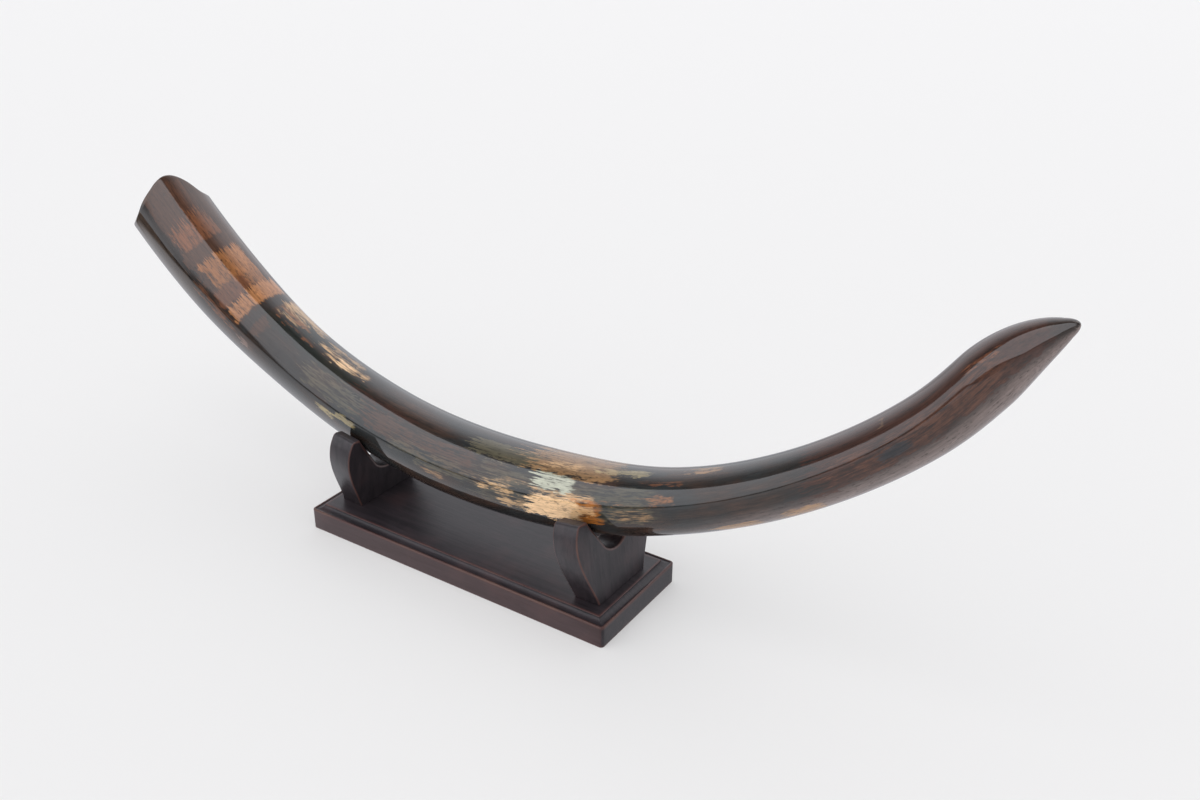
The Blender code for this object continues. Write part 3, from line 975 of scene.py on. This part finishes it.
# %% Rounding a corner
def fillet(corner, before, after, radius, steps):
    """Points and outward normals of a rounded corner between two straight edges."""
    to_before = (before - corner) / np.linalg.norm(before - corner)
    to_after = (after - corner) / np.linalg.norm(after - corner)
    half = math.acos(np.clip(to_before @ to_after, -1, 1)) / 2
    middle = (to_before + to_after) / np.linalg.norm(to_before + to_after)
    centre = corner + middle * radius / math.sin(half)
    first = corner + to_before * radius / math.tan(half) - centre
    last = corner + to_after * radius / math.tan(half) - centre
    found = []
    for turn in np.linspace(0, math.pi / 2, steps + 1):
        arm = first * math.cos(turn) + last * math.sin(turn)
        arm /= np.linalg.norm(arm)
        found.append((centre + arm * radius, arm))
    return found


# %% Cradle outline
def notch_half(seat):
    """(place, outward normal, ease) from the bottom of the notch up its round part."""
    arc_up = seat + NOTCH_RADIUS / math.sin(NOTCH_ANGLE)
    entries = []
    for share in np.linspace(0, 1, 20):
        turn = (math.pi / 2 - NOTCH_ANGLE) * share
        out = np.array((math.sin(turn), -math.cos(turn)))
        ease = NOTCH_EASE_LOW + (NOTCH_EASE_HIGH - NOTCH_EASE_LOW) * share**2
        entries.append(((0.0, arc_up) + out * NOTCH_RADIUS, -out, ease))
    return entries


def flank(up, step=0.5 * MM):
    """The flank's place and outward normal at a height up the board."""
    ups, halves = (column * MM for column in columns(FLANK_STATIONS))
    lean = float(glide(ups, halves, up + step) - glide(ups, halves, max(up - step, 0.0)))
    rise = step + min(step, up)
    out = np.array((rise, -lean)) / math.hypot(rise, lean)
    return np.array((float(glide(ups, halves, up)), up)), out


def half_outline(seat):
    """(place, outward normal, ease) down one side, from the notch bottom to the foot."""
    entries = notch_half(seat)
    inner_up = HORN_HEIGHT - HORN_FALL
    horn_inner = np.array(((inner_up - seat) * math.tan(NOTCH_ANGLE), inner_up))
    notch_top = entries[-1][0]
    for share in np.linspace(0.1, 0.85, 10):
        place = notch_top + (horn_inner - notch_top) * share
        entries.append((place, entries[-1][1], NOTCH_EASE_HIGH))
    below = HORN_HEIGHT - FLANK_STRAIGHT
    horn_outer, flank_low = flank(HORN_HEIGHT)[0], flank(below)[0]
    for place, out in fillet(horn_inner, notch_top, horn_outer, HORN_INNER_ROUND, 8):
        entries.append((place, out, HORN_EASE))
    for place, out in fillet(horn_outer, horn_inner, flank_low, HORN_OUTER_ROUND, 10):
        entries.append((place, out, EDGE_EASE))
    for share in np.linspace(0, 1, 45)[1:]:
        place, out = flank(below * (1 - share))
        entries.append((place, out, EDGE_EASE))
    return entries


print("a cradle's half outline has", len(half_outline(0.0)), "points")

# %% [markdown]
# ## The notch and the eased faces
# How deep a notch goes isn't measured: the tusk has to rest in it, so the depth is worked out
# from the tusk's own radius where it crosses the board. The board's two faces meet its edge
# in a rounded arris, whose rows also carry the wear.

# %% Making a cradle
FOOT_CUT = 0.5 * MM  # below this the foot is cut level with the panel
CREASE = math.radians(35)


def notch_seat(foot_x, foot_z, lean_sin, lean_cos):
    """Where the notch's two flanks would meet so that the tusk just rests on them."""
    half = CRADLE_THICKNESS / 2
    seats = []
    for w in np.linspace(-half, half, 9):
        on_board = (axis_x - foot_x) * lean_cos - (axis_z - foot_z) * lean_sin - w
        s = axis_s[np.argmin(np.abs(on_board))]
        up = (np.interp(s, axis_s, axis_x) - foot_x) * lean_sin
        up += (np.interp(s, axis_s, axis_z) - foot_z) * lean_cos
        clear = (tusk_radius(s) + GAP) / math.sin(NOTCH_ANGLE)
        relief = NOTCH_EASE_HIGH * max(0.0, abs(w) / half - 0.7)
        seats.append(up - clear + relief)
    return min(seats)


def build_cradle(name, side):
    foot_x = side * CRADLE_FOOT
    foot_z = PANEL_HEIGHT + GAP
    lean_sin = -side * math.sin(CRADLE_LEAN)
    lean_cos = math.cos(CRADLE_LEAN)
    half = CRADLE_THICKNESS / 2
    right_side = half_outline(notch_seat(foot_x, foot_z, lean_sin, lean_cos))
    left_side = [(p * (-1, 1), n * (-1, 1), e) for p, n, e in reversed(right_side[1:])]
    turns = np.linspace(0, math.pi / 2, 7)
    rows, wears = [], []
    for face, turn in [(1, turn) for turn in turns[::-1]] + [(-1, turn) for turn in turns]:
        row = []
        for place, out, ease in right_side + left_side:
            across, up = place - out * ease * (1 - math.cos(turn))
            w = face * (half - ease * (1 - math.sin(turn)))
            if place[1] < FOOT_CUT:
                up = w * lean_sin / lean_cos
            x = foot_x + w * lean_cos + up * lean_sin
            row.append((x, across, foot_z - w * lean_sin + up * lean_cos))
        rows.append(row)
        wears.append([max(0.0, math.sin(2 * turn)) ** 0.5] * len(row))
    wear_and_sheen = {"wear_and_sheen": np.array(wears)[..., None]}
    piece = ring_mesh(name, turned(np.array(rows)), None, wear_and_sheen, cradle_wood)
    piece.data.set_sharp_from_angle(angle=CREASE)
    return piece


for name, side, node in (("cradle_at_root", -1, "root_cradle"), ("cradle_at_tip", 1, "tip_cradle")):
    cradle = build_cradle(name, side)
    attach(cradle, "root")
    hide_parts(node)
